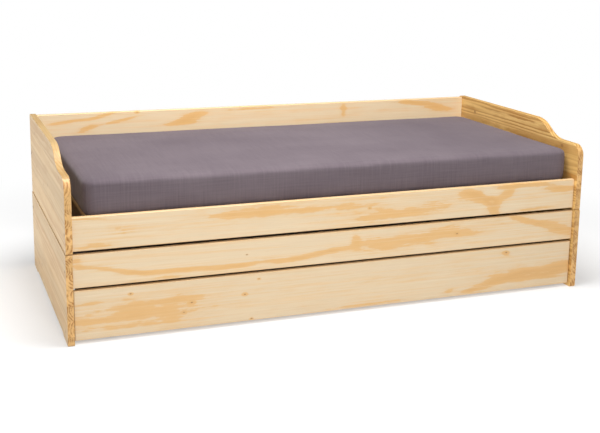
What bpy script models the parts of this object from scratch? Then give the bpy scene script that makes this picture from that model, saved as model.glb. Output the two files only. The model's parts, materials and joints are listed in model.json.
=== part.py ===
"""Trundle bed in solid pine: a single bed stacked on a base frame, with a trundle rolling out below it.

Metres, +Z up.  X runs along the bed, the front faces -Y, and the origin is on the floor under the middle.
The bed comes in three sets of pieces: the upper tier, the base tier and the trundle on its casters.
"""

import math

import bmesh
import bpy
from mathutils import Euler, Matrix, Vector

# Overall size
LENGTH = 2.080
DEPTH = 0.988
HEIGHT = 0.664
SEAM_Z = 0.330

# Clearances
GAP = 0.0003
BORE_PLAY = 0.0003

# End panels
PANEL_THICK = 0.024
UPPER_INSET = 0.002
PANEL_ROUND = 0.0045
CORNER_ROUND = 0.007
ARM_Z = 0.5975
ARM_CORNER_ROUND = 0.045
SWEEP_FRONT_Y = -0.360
SWEEP_REAR_Y = -0.163
FOOT_WIDTH = 0.105
FOOT_SLOPE = 0.025
FOOT_RELIEF = 0.009

# Rails and back panel
BOARD_THICK = 0.022
BOARD_ROUND = 0.003
FRONT_RECESS = 0.015
REAR_RECESS = 0.008
UPPER_RAIL_Z = (0.336, 0.456)
BASE_RAIL_Z = (0.204, 0.324)
BACK_PANEL_Z = (0.336, 0.660)

# Slats, their bearers and the bands that space them
SLAT_COUNT = 12
SLAT_WIDTH = 0.080
SLAT_END_INSET = 0.100
BAND_Y = (-0.25, 0.25)
BAND_WIDTH = 0.025
BAND_THICK = 0.0010
UPPER_SLAT_THICK = 0.018
UPPER_SLAT_TOP_Z = 0.4395
UPPER_BEARER = (0.024, 0.030)
BEARER_END_GAP = 0.058
TRUNDLE_SLAT_THICK = 0.015
TRUNDLE_BEARER = (0.050, 0.020)

# Mattresses and fitted sheets
SHEET_THICK = 0.0012
UPPER_MATTRESS = (1.978, 0.897)
UPPER_MATTRESS_MIDDLE = (0.0195, 0.002)
UPPER_MATTRESS_TOP_Z = 0.5735
TRUNDLE_MATTRESS = (1.950, 0.889)
TRUNDLE_MATTRESS_MIDDLE = (0.0, -0.006)
TRUNDLE_MATTRESS_TOP_Z = 0.1900
MATTRESS_CORNER_ROUND = 0.050
MATTRESS_EDGE_ROUND = 0.016

# Trundle box
TRUNDLE_FRONT_Z = (0.013, 0.194)
TRUNDLE_SIDE_Z = (0.020, 0.140)
TRUNDLE_SIDE_PLAY = 0.006
TRUNDLE_FRONT_PLAY = 0.0028
TRUNDLE_BOARD_THICK = 0.018
TRUNDLE_BACK_Y = 0.463
TRUNDLE_BEARER_Z = 0.050
STOP_BLOCK = (0.030, 0.022, 0.060)
STOP_BLOCK_Z = 0.030

# Casters
WHEEL_RADIUS = 0.022
WHEEL_WIDTH = 0.018
CASTER_X = 0.88
CASTER_WALL_PLAY = 0.005
CASTER_PLATE = (0.046, 0.040, 0.002)
CHEEK_THICK = 0.002
CHEEK_PLAY = 0.0006
AXLE_RADIUS = 0.003

# Fasteners
BOLT_RADIUS = 0.003
BOLT_LENGTH = 0.062
BOLT_HEAD = (0.007, 0.003)
BOLT_HEAD_SET = 0.0006
STACK_DOWEL_RADIUS = 0.005
STACK_DOWEL_LENGTH = 0.050
STACK_DOWEL_Y = 0.360

# Derived places
HALF_L = LENGTH / 2
HALF_D = DEPTH / 2
BASE_INNER_X = HALF_L - PANEL_THICK
UPPER_OUTER_X = HALF_L - UPPER_INSET
UPPER_INNER_X = UPPER_OUTER_X - PANEL_THICK
FRONT_FACE_Y = -HALF_D + FRONT_RECESS
FRONT_INNER_Y = FRONT_FACE_Y + BOARD_THICK
REAR_FACE_Y = HALF_D - REAR_RECESS
REAR_INNER_Y = REAR_FACE_Y - BOARD_THICK
TRUNDLE_HALF_L = BASE_INNER_X - TRUNDLE_SIDE_PLAY
TRUNDLE_INNER_X = TRUNDLE_HALF_L - TRUNDLE_BOARD_THICK
TRUNDLE_INNER_BACK_Y = TRUNDLE_BACK_Y - TRUNDLE_BOARD_THICK
TRUNDLE_SLAT_TOP_Z = TRUNDLE_BEARER_Z + TRUNDLE_BEARER[1] + GAP + TRUNDLE_SLAT_THICK

# Where each tier's rails are bolted: tier, end of the bed, middle of the board in Y, height of the bolt
FRONT_BOLT_Y = FRONT_FACE_Y + BOARD_THICK / 2
REAR_BOLT_Y = REAR_FACE_Y - BOARD_THICK / 2
RAIL_BOLTS = (
    ("upper_front", UPPER_OUTER_X, FRONT_BOLT_Y, sum(UPPER_RAIL_Z) / 2),
    ("upper_rear", UPPER_OUTER_X, REAR_BOLT_Y, sum(BACK_PANEL_Z) / 2),
    ("base_front", HALF_L, FRONT_BOLT_Y, sum(BASE_RAIL_Z) / 2),
    ("base_rear", HALF_L, REAR_BOLT_Y, sum(BASE_RAIL_Z) / 2),
)


def clear_scene():
    for obj in list(bpy.data.objects):
        bpy.data.objects.remove(obj, do_unlink=True)


def new_collection(name):
    coll = bpy.data.collections.new(name)
    bpy.context.scene.collection.children.link(coll)
    return coll


def paint(name, colour, roughness, metallic=0.0):
    mat = bpy.data.materials.new(name)
    mat.use_nodes = True
    shader = mat.node_tree.nodes["Principled BSDF"]
    shader.inputs["Base Color"].default_value = (*colour, 1.0)
    shader.inputs["Roughness"].default_value = roughness
    shader.inputs["Metallic"].default_value = metallic
    return mat


clear_scene()
PARTS = new_collection("trundle_bed")
CUTTERS = new_collection("cutters")

FRONT_PINE = ((0.77, 0.62, 0.43), 0.38)
END_PINE = ((0.72, 0.54, 0.35), 0.40)
SLAT_PINE = ((0.76, 0.63, 0.45), 0.60)
BEECH = ((0.62, 0.44, 0.28), 0.60)
JERSEY = ((0.19, 0.15, 0.165), 0.92)
FOAM = ((0.82, 0.80, 0.72), 0.95)
ZINC = ((0.62, 0.62, 0.60), 0.35, 1.0)
BLACK_STEEL = ((0.10, 0.09, 0.085), 0.45, 0.8)
WHEEL_PLASTIC = ((0.09, 0.09, 0.095), 0.50)


def place(name, mesh, finish, matrix=None):
    """Put a mesh in the bed as its own object, with a material of its own."""
    obj = bpy.data.objects.new(name, mesh)
    obj.matrix_world = matrix or Matrix()
    mesh.materials.clear()
    mesh.materials.append(paint(name, *finish))
    PARTS.objects.link(obj)
    return obj


def cutter(name, mesh, matrix=None):
    obj = bpy.data.objects.new(name, mesh)
    obj.matrix_world = matrix or Matrix()
    obj.hide_render = True
    obj.display_type = "WIRE"
    CUTTERS.objects.link(obj)
    return obj


def bevel(obj, width, segments, angle=35):
    mod = obj.modifiers.new("rounded edges", "BEVEL")
    mod.width = width
    mod.segments = segments
    mod.limit_method = "ANGLE"
    mod.angle_limit = math.radians(angle)
    return mod


def boolean(obj, other, operation="DIFFERENCE"):
    mod = obj.modifiers.new(other.name, "BOOLEAN")
    mod.object = other
    mod.operation = operation
    mod.solver = "EXACT"
    return mod


def box_mesh(name, size):
    bm = bmesh.new()
    bmesh.ops.create_cube(bm, size=1.0)
    bmesh.ops.scale(bm, vec=Vector(size), verts=bm.verts)
    mesh = bpy.data.meshes.new(name)
    bm.to_mesh(mesh)
    bm.free()
    return mesh


def board(name, low, high, finish, edge=0.002, segments=1):
    """A straight board between two corners, with eased edges."""
    low, high = Vector(low), Vector(high)
    obj = place(name, box_mesh(name, high - low), finish, Matrix.Translation((low + high) / 2))
    bevel(obj, edge, segments)
    return obj


def arc(centre, radius, start, end, steps):
    """Points on a round stretch of an outline, from one angle to another in degrees."""
    points = []
    for i in range(steps + 1):
        angle = math.radians(start + (end - start) * i / steps)
        points.append((centre[0] + radius * math.cos(angle), centre[1] + radius * math.sin(angle)))
    return points


def curve_outline_mesh(name, points, thickness, matrix):
    """A flat outline as a filled 2D curve, made a welded mesh object in the collection."""
    curve = bpy.data.curves.new(name, "CURVE")
    curve.dimensions = "2D"
    curve.fill_mode = "BOTH"
    curve.extrude = thickness / 2
    spline = curve.splines.new("POLY")
    spline.points.add(len(points) - 1)
    for point, (u, v) in zip(spline.points, points):
        point.co = (u, v, 0, 1)
    spline.use_cyclic_u = True
    carrier = bpy.data.objects.new(name + "_outline", curve)
    carrier.matrix_world = matrix
    PARTS.objects.link(carrier)
    mesh = bpy.data.meshes.new_from_object(carrier.evaluated_get(bpy.context.evaluated_depsgraph_get()))
    bpy.data.objects.remove(carrier)
    bm = bmesh.new()
    bm.from_mesh(mesh)
    bmesh.ops.remove_doubles(bm, verts=bm.verts, dist=1e-6)
    bm.to_mesh(mesh)
    bm.free()
    return mesh


def turned_mesh(name, profile, steps, closed=False):
    """A turned shape about Z from (radius, height) points that run down its outer side."""
    mesh = bpy.data.meshes.new(name)
    count = len(profile)
    edges = [(i, (i + 1) % count) for i in range(count if closed else count - 1)]
    mesh.from_pydata([(r, 0, z) for r, z in profile], edges, [])
    turned = bpy.data.objects.new(name + "_profile", mesh)
    PARTS.objects.link(turned)
    mod = turned.modifiers.new("turn", "SCREW")
    mod.axis = "Z"
    mod.steps = steps
    mod.render_steps = steps
    mod.use_merge_vertices = True
    mod.merge_threshold = 0.00001
    result = bpy.data.meshes.new_from_object(turned.evaluated_get(bpy.context.evaluated_depsgraph_get()))
    bpy.data.objects.remove(turned)
    return result


def rod_mesh(name, radius, length, segments=12):
    bm = bmesh.new()
    bmesh.ops.create_cone(bm, cap_ends=True, segments=segments, radius1=radius, radius2=radius, depth=length)
    mesh = bpy.data.meshes.new(name)
    bm.to_mesh(mesh)
    bm.free()
    return mesh


def copies(name, mesh, matrices):
    """One mesh that holds a copy of another at each of the places."""
    bm = bmesh.new()
    for matrix in matrices:
        held = set(bm.verts)
        bm.from_mesh(mesh)
        bmesh.ops.transform(bm, matrix=matrix, verts=[v for v in bm.verts if v not in held])
    grouped = bpy.data.meshes.new(name)
    bm.to_mesh(grouped)
    bm.free()
    return grouped


def aim(point, direction):
    """A matrix that stands +Z of a shape along a direction, at a point."""
    turn = Vector(direction).to_track_quat("Z", "Y").to_matrix().to_4x4()
    return Matrix.Translation(Vector(point)) @ turn


def along(half, count):
    """Evenly spaced places from one end to the other."""
    return [half * (2 * i / (count - 1) - 1) for i in range(count)]


# ---- fasteners, and the bores they sit in ----

def bolt_places():
    """The face of each bolt's head, by name, pointing out of its end panel."""
    places = {}
    for tier, x, y, z in RAIL_BOLTS:
        for side, sign in (("left", -1), ("right", 1)):
            places[f"{tier}_{side}"] = aim((sign * (x - BOLT_HEAD_SET), y, z), (sign, 0, 0))
    return places


def stack_dowel_places():
    """The middle of each dowel that locates the upper tier on the base."""
    x = HALF_L - UPPER_INSET / 2 - PANEL_THICK / 2
    rows = (("front", -STACK_DOWEL_Y), ("rear", STACK_DOWEL_Y))
    sides = (("left", -x), ("right", x))
    return {f"{row}_{side}": Matrix.Translation((at_x, y, SEAM_Z)) for row, y in rows for side, at_x in sides}


def make_cutters():
    """The bores of the bolts, the sinks of their heads and the bores of the stacking dowels."""
    bolts = bolt_places().values()
    deep = BOLT_LENGTH + 0.002
    bore = rod_mesh("bolt_bore", BOLT_RADIUS + BORE_PLAY, deep)
    down = Matrix.Translation((0, 0, -deep / 2 + 0.001))
    sink_depth = BOLT_HEAD[1] + BOLT_HEAD_SET + BORE_PLAY
    sink = rod_mesh("bolt_sink", BOLT_HEAD[0] + BORE_PLAY, sink_depth * 2, 20)
    up = Matrix.Translation((0, 0, BOLT_HEAD_SET))
    stack = rod_mesh("stack_bore", STACK_DOWEL_RADIUS + BORE_PLAY, STACK_DOWEL_LENGTH + 0.001)
    return {
        "bolts": cutter("bolt_bores", copies("bolt_bores", bore, [m @ down for m in bolts])),
        "sinks": cutter("bolt_sinks", copies("bolt_sinks", sink, [m @ up for m in bolts])),
        "stack": cutter("stack_bores", copies("stack_bores", stack, stack_dowel_places().values())),
    }


def make_fasteners():
    head, tall = BOLT_HEAD
    profile = [(0, -0.0016), (0.0024, -0.0016), (0.0024, 0), (head - 0.0006, 0), (head, -0.0006), (head, -tall),
               (BOLT_RADIUS, -tall), (BOLT_RADIUS, -BOLT_LENGTH + 0.004), (0, -BOLT_LENGTH)]
    bolt = turned_mesh("bolt", profile, 12)
    for name, matrix in bolt_places().items():
        place(f"{name}_bolt", bolt.copy(), BLACK_STEEL, matrix)
    dowel = rod_mesh("dowel", STACK_DOWEL_RADIUS, STACK_DOWEL_LENGTH)
    for name, matrix in stack_dowel_places().items():
        place(f"stacking_dowel_{name}", dowel.copy(), BEECH, matrix)


# ---- the upper and base tiers ----

# Outlines are drawn in the panel's plane: first number along Y, second up Z
PANEL_TURN = Euler((math.pi / 2, 0, math.pi / 2)).to_matrix().to_4x4()


def upper_outline():
    """Arm rest at the front, an S-shaped sweep of two equal arcs, then the straight top."""
    rise = HEIGHT - ARM_Z
    run = SWEEP_REAR_Y - SWEEP_FRONT_Y
    radius = (run * run + rise * rise) / (4 * rise)
    swing = math.degrees(math.asin(run / 2 / radius))
    low, high = SEAM_Z, HEIGHT
    r, a = CORNER_ROUND, ARM_CORNER_ROUND
    points = arc((-HALF_D + r, low + r), r, 270, 180, 4)
    points += arc((-HALF_D + a, ARM_Z - a), a, 180, 90, 12)
    points += arc((SWEEP_FRONT_Y, ARM_Z + radius), radius, 270, 270 + swing, 10)
    points += arc((SWEEP_REAR_Y, high - radius), radius, 90 + swing, 90, 10)[1:]
    points += arc((HALF_D - 0.010, high - 0.010), 0.010, 90, 0, 4)
    points += arc((HALF_D - r, low + r), r, 0, -90, 4)
    return points


def base_outline():
    """A plain panel whose bottom edge is relieved between two feet."""
    r = CORNER_ROUND
    low, high = 0.0, SEAM_Z - GAP
    points = arc((-HALF_D + r, low + r), r, 270, 180, 4)
    points += arc((-HALF_D + r, high - r), r, 180, 90, 4)
    points += arc((HALF_D - r, high - r), r, 90, 0, 4)
    points += arc((HALF_D - r, low + r), r, 0, -90, 4)
    for side in (1, -1):
        foot = side * (HALF_D - FOOT_WIDTH)
        slope = [(foot, low), (foot - side * FOOT_SLOPE, low + FOOT_RELIEF)]
        points += slope if side > 0 else slope[::-1]
    return points


def make_end_panels(cuts):
    for side, sign in (("left", -1), ("right", 1)):
        middle = sign * (UPPER_OUTER_X - PANEL_THICK / 2)
        matrix = Matrix.Translation((middle, 0, 0)) @ PANEL_TURN
        name = f"upper_{side}_end_panel"
        upper = place(name, curve_outline_mesh(name, upper_outline(), PANEL_THICK, matrix), END_PINE, matrix)
        middle = sign * (HALF_L - PANEL_THICK / 2)
        matrix = Matrix.Translation((middle, 0, 0)) @ PANEL_TURN
        name = f"base_{side}_end_panel"
        base = place(name, curve_outline_mesh(name, base_outline(), PANEL_THICK, matrix), END_PINE, matrix)
        for panel in (upper, base):
            bevel(panel, PANEL_ROUND, 3, 50)
            for bore in cuts.values():
                boolean(panel, bore)


def make_rails(cuts):
    boards = (
        ("upper_front_rail", FRONT_FACE_Y, FRONT_INNER_Y, UPPER_RAIL_Z, UPPER_INNER_X),
        ("back_panel", REAR_INNER_Y, REAR_FACE_Y, BACK_PANEL_Z, UPPER_INNER_X),
        ("base_front_rail", FRONT_FACE_Y, FRONT_INNER_Y, BASE_RAIL_Z, BASE_INNER_X),
        ("base_rear_rail", REAR_INNER_Y, REAR_FACE_Y, BASE_RAIL_Z, BASE_INNER_X),
    )
    for name, front, rear, (low, high), inner in boards:
        half = inner - GAP
        rail = board(name, (-half, front, low), (half, rear, high), FRONT_PINE, BOARD_ROUND, 3)
        boolean(rail, cuts["bolts"])


def slat_middles(half_length):
    return along(half_length - SLAT_END_INSET, SLAT_COUNT)


def make_upper_deck():
    """Bearers along the rail and the back panel, with the slats lying across them."""
    wide, tall = UPPER_BEARER
    high = UPPER_SLAT_TOP_Z - UPPER_SLAT_THICK - GAP
    front, rear = FRONT_INNER_Y + GAP, REAR_INNER_Y - GAP
    half = UPPER_INNER_X - BEARER_END_GAP
    board("upper_front_bearer", (-half, front, high - tall), (half, front + wide, high), SLAT_PINE)
    board("upper_rear_bearer", (-half, rear - wide, high - tall), (half, rear, high), SLAT_PINE)
    low, top = UPPER_SLAT_TOP_Z - UPPER_SLAT_THICK, UPPER_SLAT_TOP_Z
    for i, x in enumerate(slat_middles(UPPER_INNER_X)):
        board(f"upper_slat_{i + 1:02d}", (x - SLAT_WIDTH / 2, front + 0.001, low),
              (x + SLAT_WIDTH / 2, rear - 0.001, top), SLAT_PINE)


def make_stops():
    """Blocks inside the base panels that the trundle's back board comes to rest against."""
    wide, deep, tall = STOP_BLOCK
    front = TRUNDLE_BACK_Y + GAP
    for side, sign in (("left", -1), ("right", 1)):
        xs = sorted((sign * (BASE_INNER_X - GAP), sign * (BASE_INNER_X - GAP - wide)))
        board(f"trundle_stop_{side}", (xs[0], front, STOP_BLOCK_Z),
              (xs[1], front + deep, STOP_BLOCK_Z + tall), SLAT_PINE)


# ---- the mattresses and their fitted sheets ----

def cushion_mesh(name, low, high, corner, edge, open_below=False):
    """A box with round upright corners and rounded rims, optionally open underneath."""
    low, high = Vector(low), Vector(high)
    bm = bmesh.new()
    bmesh.ops.create_cube(bm, size=1.0)
    bmesh.ops.scale(bm, vec=high - low, verts=bm.verts)
    upright = [e for e in bm.edges if abs(e.verts[0].co.z - e.verts[1].co.z) > 1e-6]
    bmesh.ops.bevel(bm, geom=upright, offset=corner, segments=4, profile=0.5, affect="EDGES")
    half = (high.z - low.z) / 2
    rims = (1,) if open_below else (1, -1)
    rim = [e for e in bm.edges for s in rims if all(abs(v.co.z - s * half) < 1e-6 for v in e.verts)]
    bmesh.ops.bevel(bm, geom=rim, offset=edge, segments=3, profile=0.5, affect="EDGES")
    if open_below:
        under = [f for f in bm.faces if all(v.co.z < -half + 1e-6 for v in f.verts)]
        bmesh.ops.delete(bm, geom=under, context="FACES_ONLY")
    mesh = bpy.data.meshes.new(name)
    bm.to_mesh(mesh)
    bm.free()
    return mesh


def make_bedding(prefix, size, centre, bottom, top):
    """A foam mattress with a sheet stretched over its top and sides."""
    low = Vector((centre[0] - size[0] / 2, centre[1] - size[1] / 2, bottom))
    high = Vector((centre[0] + size[0] / 2, centre[1] + size[1] / 2, top))
    middle = Matrix.Translation((low + high) / 2)
    name = f"{prefix}_mattress"
    low.z += GAP
    place(name, cushion_mesh(name, low, high, MATTRESS_CORNER_ROUND, MATTRESS_EDGE_ROUND), FOAM, middle)
    grow = Vector((GAP, GAP, 0))
    low, high = low - grow, high + grow + Vector((0, 0, GAP))
    name = f"{prefix}_fitted_sheet"
    mesh = cushion_mesh(name, low, high, MATTRESS_CORNER_ROUND + GAP, MATTRESS_EDGE_ROUND + GAP, True)
    sheet = place(name, mesh, JERSEY, Matrix.Translation((low + high) / 2))
    shell = sheet.modifiers.new("cloth", "SOLIDIFY")
    shell.thickness = SHEET_THICK
    shell.offset = 1.0


# ---- the trundle ----

def make_trundle_box():
    half, thick = TRUNDLE_HALF_L, TRUNDLE_BOARD_THICK
    low, high = TRUNDLE_SIDE_Z
    wide = BASE_INNER_X - TRUNDLE_FRONT_PLAY
    board("trundle_front_panel", (-wide, FRONT_FACE_Y, TRUNDLE_FRONT_Z[0]),
          (wide, FRONT_INNER_Y, TRUNDLE_FRONT_Z[1]), FRONT_PINE, BOARD_ROUND, 3)
    board("trundle_back_board", (-half, TRUNDLE_INNER_BACK_Y, low), (half, TRUNDLE_BACK_Y, high), SLAT_PINE)
    for side, sign in (("left", -1), ("right", 1)):
        xs = sorted((sign * (half - thick), sign * half))
        board(f"trundle_{side}_side", (xs[0], FRONT_INNER_Y + GAP, low),
              (xs[1], TRUNDLE_INNER_BACK_Y - GAP, high), SLAT_PINE)


def make_trundle_deck():
    """Flat bearers that also carry the casters, and a rolled slat mat: slats stapled to two woven bands."""
    wide, tall = TRUNDLE_BEARER
    low, high = TRUNDLE_BEARER_Z, TRUNDLE_BEARER_Z + tall
    half = TRUNDLE_INNER_X - GAP
    front, rear = FRONT_INNER_Y + GAP, TRUNDLE_INNER_BACK_Y - GAP
    board("trundle_front_bearer", (-half, front, low), (half, front + wide, high), SLAT_PINE)
    board("trundle_rear_bearer", (-half, rear - wide, low), (half, rear, high), SLAT_PINE)
    depth = rear - front - 0.002
    top = TRUNDLE_SLAT_TOP_Z
    middle_y, middle_z = (front + rear) / 2, top - TRUNDLE_SLAT_THICK / 2
    slat = box_mesh("slat", (SLAT_WIDTH, depth, TRUNDLE_SLAT_THICK))
    places = [Matrix.Translation((x, middle_y, middle_z)) for x in slat_middles(TRUNDLE_INNER_X)]
    mat = place("trundle_slat_mat", copies("trundle_slat_mat", slat, places), SLAT_PINE)
    bevel(mat, 0.002, 1)
    reach = TRUNDLE_INNER_X - SLAT_END_INSET + SLAT_WIDTH / 2 - 0.005
    band = box_mesh("band", (2 * reach, BAND_WIDTH, 2 * BAND_THICK))
    bands = cutter("slat_bands", copies("slat_bands", band, [Matrix.Translation((0, y, top)) for y in BAND_Y]))
    boolean(mat, bands, "UNION")


def bracket_mesh():
    """A plate with two cheeks that taper to a round end below the axle; the plate's top is at z = 0."""
    thick = CASTER_PLATE[2]
    axle_z = WHEEL_RADIUS - (TRUNDLE_BEARER_Z - GAP)
    root_z = -thick / 2
    outline = [(0.016, root_z)] + arc((0, axle_z), 0.007, 15, -195, 8) + [(-0.016, root_z)]
    cheek = curve_outline_mesh("cheek", outline[::-1], CHEEK_THICK, PANEL_TURN)
    middle = WHEEL_WIDTH / 2 + CHEEK_PLAY + CHEEK_THICK / 2
    pair = copies("cheeks", cheek, [Matrix.Translation((x, 0, 0)) @ PANEL_TURN for x in (-middle, middle)])
    plate = place("plate", box_mesh("plate", CASTER_PLATE), ZINC, Matrix.Translation((0, 0, -thick / 2)))
    cheeks = cutter("cheeks", pair)
    hole = cutter("axle_hole", rod_mesh("axle_hole", AXLE_RADIUS + BORE_PLAY, 0.050, 16),
                  aim((0, 0, axle_z), (1, 0, 0)))
    boolean(plate, cheeks, "UNION")
    boolean(plate, hole)
    bpy.context.view_layer.update()
    shaped = bpy.data.meshes.new_from_object(plate.evaluated_get(bpy.context.evaluated_depsgraph_get()))
    shaped.transform(plate.matrix_world)
    for obj in (plate, cheeks, hole):
        bpy.data.objects.remove(obj)
    return shaped


def wheel_mesh():
    """A round-shouldered wheel with a hub standing out on both sides, about its own Z."""
    r, half = WHEEL_RADIUS, WHEEL_WIDTH / 2
    bore = AXLE_RADIUS + BORE_PLAY
    upper = [(bore, half), (0.0065, half), (0.0075, half - 0.002), (r - 0.006, half - 0.002),
             (r - 0.002, half - 0.001), (r, half - 0.004)]
    lower = [(radius, -z) for radius, z in reversed(upper)]
    return turned_mesh("caster_wheel", upper + lower, 28, closed=True)


def axle_mesh():
    """A rivet axle with a flat head on each side of the bracket."""
    r = AXLE_RADIUS
    seat = WHEEL_WIDTH / 2 + CHEEK_PLAY + CHEEK_THICK + GAP
    top = seat + 0.0014
    upper = [(0, top), (0.0046, top), (0.0046, seat), (r, seat)]
    lower = [(radius, -z) for radius, z in reversed(upper)]
    return turned_mesh("axle", upper + lower, 14)


def caster_places():
    """The middle of each caster in plan, by name."""
    front_y = FRONT_INNER_Y + CASTER_WALL_PLAY + WHEEL_RADIUS
    rear_y = TRUNDLE_INNER_BACK_Y - CASTER_WALL_PLAY - WHEEL_RADIUS
    rows = (("front", front_y), ("rear", rear_y))
    sides = (("left", -CASTER_X), ("right", CASTER_X))
    return {f"{row}_{side}": (x, y) for row, y in rows for side, x in sides}


def make_casters():
    bracket, wheel, axle = bracket_mesh(), wheel_mesh(), axle_mesh()
    for name, (x, y) in caster_places().items():
        place(f"caster_bracket_{name}", bracket.copy(), ZINC, Matrix.Translation((x, y, TRUNDLE_BEARER_Z - GAP)))
        axis = aim((x, y, WHEEL_RADIUS), (1, 0, 0))
        place(f"caster_wheel_{name}", wheel.copy(), WHEEL_PLASTIC, axis)
        place(f"caster_axle_{name}", axle.copy(), ZINC, axis)


def build():
    cuts = make_cutters()
    make_end_panels(cuts)
    make_rails(cuts)
    make_upper_deck()
    make_stops()
    make_bedding("upper", UPPER_MATTRESS, UPPER_MATTRESS_MIDDLE, UPPER_SLAT_TOP_Z, UPPER_MATTRESS_TOP_Z)
    make_trundle_box()
    make_trundle_deck()
    make_bedding("trundle", TRUNDLE_MATTRESS, TRUNDLE_MATTRESS_MIDDLE, TRUNDLE_SLAT_TOP_Z + BAND_THICK,
                 TRUNDLE_MATTRESS_TOP_Z)
    make_casters()
    make_fasteners()


build()
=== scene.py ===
import json
import math

import bmesh
import bpy
from mathutils import Matrix, Vector, noise
from mathutils.bvhtree import BVHTree


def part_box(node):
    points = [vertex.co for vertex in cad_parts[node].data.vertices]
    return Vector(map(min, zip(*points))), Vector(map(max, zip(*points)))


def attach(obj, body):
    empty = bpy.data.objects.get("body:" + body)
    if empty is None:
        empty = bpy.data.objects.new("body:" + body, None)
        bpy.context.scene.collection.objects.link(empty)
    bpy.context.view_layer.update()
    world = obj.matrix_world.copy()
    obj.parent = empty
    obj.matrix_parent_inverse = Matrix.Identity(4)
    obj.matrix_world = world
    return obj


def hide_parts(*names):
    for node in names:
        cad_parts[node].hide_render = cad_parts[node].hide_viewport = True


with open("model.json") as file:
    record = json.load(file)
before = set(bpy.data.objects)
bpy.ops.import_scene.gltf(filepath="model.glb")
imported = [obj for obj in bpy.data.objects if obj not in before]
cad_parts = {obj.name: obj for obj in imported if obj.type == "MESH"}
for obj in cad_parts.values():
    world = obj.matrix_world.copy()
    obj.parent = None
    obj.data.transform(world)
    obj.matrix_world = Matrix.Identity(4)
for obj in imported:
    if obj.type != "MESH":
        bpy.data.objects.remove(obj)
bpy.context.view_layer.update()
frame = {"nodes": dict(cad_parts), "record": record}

scene = bpy.context.scene
scene.view_settings.view_transform = "Standard"
nodeOf = frame["nodes"]
bodyOf = {node: body for body, names in frame["record"]["behaviour"]["bodies"].items() for node in names}
print("frame loaded:", len(nodeOf), "nodes")


class Wire:
    def __init__(self, finish, socket):
        self.finish = finish
        self.socket = socket

    def __add__(self, other):
        return self.finish.math("ADD", self, other)

    def __sub__(self, other):
        return self.finish.math("SUBTRACT", self, other)

    def __rsub__(self, other):
        return self.finish.math("SUBTRACT", other, self)

    def __mul__(self, other):
        return self.finish.math("MULTIPLY", self, other)

    def __truediv__(self, other):
        return self.finish.math("DIVIDE", self, other)

    __radd__ = __add__
    __rmul__ = __mul__


class Finish:
    def __init__(self, name):
        self.material = bpy.data.materials.new(name)
        self.material.use_nodes = True
        self.tree = self.material.node_tree
        self.tree.nodes.clear()
        self.shader = self.tree.nodes.new("ShaderNodeBsdfPrincipled")
        output = self.tree.nodes.new("ShaderNodeOutputMaterial")
        self.tree.links.new(self.shader.outputs[0], output.inputs["Surface"])

    def feed(self, socket, value):
        if isinstance(value, Wire):
            self.tree.links.new(value.socket, socket)
        elif isinstance(value, tuple) and len(value) == 3 and len(socket.default_value) == 4:
            socket.default_value = (*value, 1.0)
        else:
            socket.default_value = value

    def node(self, kind, settings, inputs, out=0):
        made = self.tree.nodes.new(kind)
        for key, value in settings.items():
            setattr(made, key, value)
        for key, value in inputs.items():
            self.feed(made.inputs[key], value)
        return Wire(self, made.outputs[out])

    def math(self, operation, a, b=0.0):
        return self.node("ShaderNodeMath", {"operation": operation}, {0: a, 1: b})

    def point(self, x, y, z=0.0):
        return self.node("ShaderNodeCombineXYZ", {}, {0: x, 1: y, 2: z})

    def parts(self, vector):
        made = self.tree.nodes.new("ShaderNodeSeparateXYZ")
        self.feed(made.inputs[0], vector)
        return [Wire(self, made.outputs[i]) for i in range(3)]

    def noise(self, x, y, z=0.0, detail=2.0, roughness=0.5):
        return self.node("ShaderNodeTexNoise", {}, {"Vector": self.point(x, y, z), "Scale": 1.0,
                                                    "Detail": detail, "Roughness": roughness})

    def mix(self, share, a, b, blend="MIX"):
        made = self.tree.nodes.new("ShaderNodeMix")
        made.data_type = "RGBA"
        made.blend_type = blend
        for index, value in ((0, share), (6, a), (7, b)):
            self.feed(made.inputs[index], value)
        return Wire(self, made.outputs[2])

    def step(self, value, low, high, start=0.0, end=1.0):
        return self.node("ShaderNodeMapRange", {"interpolation_type": "SMOOTHSTEP"},
                         {"Value": value, 1: low, 2: high, 3: start, 4: end})

    def bump(self, height, distance, strength=1.0):
        normal = self.node("ShaderNodeBump", {}, {"Height": height, "Distance": distance, "Strength": strength})
        self.feed(self.shader.inputs["Normal"], normal)

    def set(self, **values):
        for key, value in values.items():
            self.feed(self.shader.inputs[key.replace("_", " ")], value)
        return self.material


def objectPlace(finish):
    made = finish.tree.nodes.new("ShaderNodeTexCoord")
    return finish.parts(Wire(finish, made.outputs["Object"])), finish.parts(Wire(finish, made.outputs["Normal"]))


pineSet = {
    "early": (0.715, 0.562, 0.368), "late": (0.705, 0.405, 0.138), "deep": (0.560, 0.270, 0.075),
    "pale": (0.800, 0.690, 0.520), "knot": (0.300, 0.140, 0.050), "canal": (0.520, 0.330, 0.170),
    "roughness": 0.40, "coat": 0.08, "coatRoughness": 0.25, "relief": 0.0004,
}


def fineGrain(f, along, across, through, seed):
    # what all the pine shares: fibre, soft streaks and the short dark dashes of resin canals
    fibre = f.noise(along * 8.0, across * 340.0, through * 340.0, 3.0, 0.6)
    streak = f.noise(along * 2.4, across * 75.0, through * 45.0 + seed, 2.0, 0.55)
    dash = f.noise(along * 70.0 + seed, across * 800.0, through * 800.0, 1.0)
    return fibre, streak, f.step(dash, 0.70, 0.76)


def lacquer(f, colour, fibre, relief, dull=0.0):
    # the satin clear coat over all of the pine
    f.bump(fibre * 0.5 + relief, pineSet["relief"], 0.35)
    rough = (fibre - 0.5) * 0.14 + dull + pineSet["roughness"]
    return f.set(Base_Color=colour, Roughness=rough, Coat_Weight=pineSet["coat"],
                 Coat_Roughness=pineSet["coatRoughness"])


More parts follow.
